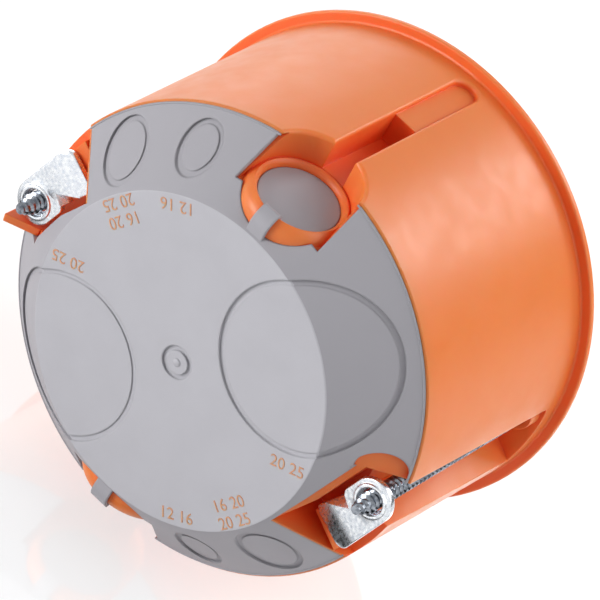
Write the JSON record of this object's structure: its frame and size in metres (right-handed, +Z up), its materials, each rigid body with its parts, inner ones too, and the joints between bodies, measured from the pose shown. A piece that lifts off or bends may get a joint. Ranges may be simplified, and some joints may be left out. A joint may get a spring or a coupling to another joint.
{
  "type": "drywall back box",
  "caption": "Round cavity-wall back box with a front flange, chamfered rear with a soft entry membrane, swing-out clamping claws on long screws, and device screws.",
  "frame": {"origin": "on the box axis, in the plane where the flange's rear face bears on the wall board", "axes": "+Y along the box axis to the rear, into the wall; the open front looks to -Y; +Z up, towards the upper side entry"},
  "size_m": [0.0712, 0.0475, 0.0712],
  "materials": {
    "orange_shell": "injection moulded, satin",
    "grey_membrane": "soft moulded elastomer, matt",
    "claw_zinc": "bright zinc plated sheet steel",
    "screw_zinc": "zinc plated rolled thread",
    "device_screw_zinc": "bright zinc plated"
  },
  "bodies": {
    "box": {"box_body": "orange_shell", "entry_membrane": "grey_membrane"},
    "left_claw": {"claw_left": "claw_zinc"},
    "right_claw": {"claw_right": "claw_zinc"},
    "left_claw_screw": {"claw_screw_left": "screw_zinc"},
    "right_claw_screw": {"claw_screw_right": "screw_zinc"},
    "upper_device_screw": {"device_screw_upper": "device_screw_zinc"},
    "lower_device_screw": {"device_screw_lower": "device_screw_zinc"}
  },
  "joints": [
    {"name": "left_claw_swing", "type": "hinge", "parent": "box", "child": "left_claw", "pos_m": [-0.0311, 0.0405, 0.00085], "axis": [0, 1, 0], "range_deg": [0, 106]},
    {"name": "right_claw_swing", "type": "hinge", "parent": "box", "child": "right_claw", "pos_m": [0.0311, 0.0405, -0.00085], "axis": [0, 1, 0], "range_deg": [0, 106]},
    {"name": "left_claw_screw_turn", "type": "hinge", "parent": "box", "child": "left_claw_screw", "pos_m": [-0.0311, 0.0018, 0.00085], "axis": [0, 1, 0], "continuous": true},
    {"name": "right_claw_screw_turn", "type": "hinge", "parent": "box", "child": "right_claw_screw", "pos_m": [0.0311, 0.0018, -0.00085], "axis": [0, 1, 0], "continuous": true},
    {"name": "upper_device_screw_turn", "type": "hinge", "parent": "box", "child": "upper_device_screw", "pos_m": [0, 0.006, 0.03], "axis": [0, 1, 0], "continuous": true},
    {"name": "lower_device_screw_turn", "type": "hinge", "parent": "box", "child": "lower_device_screw", "pos_m": [0, 0.006, -0.03], "axis": [0, 1, 0], "continuous": true}
  ]
}
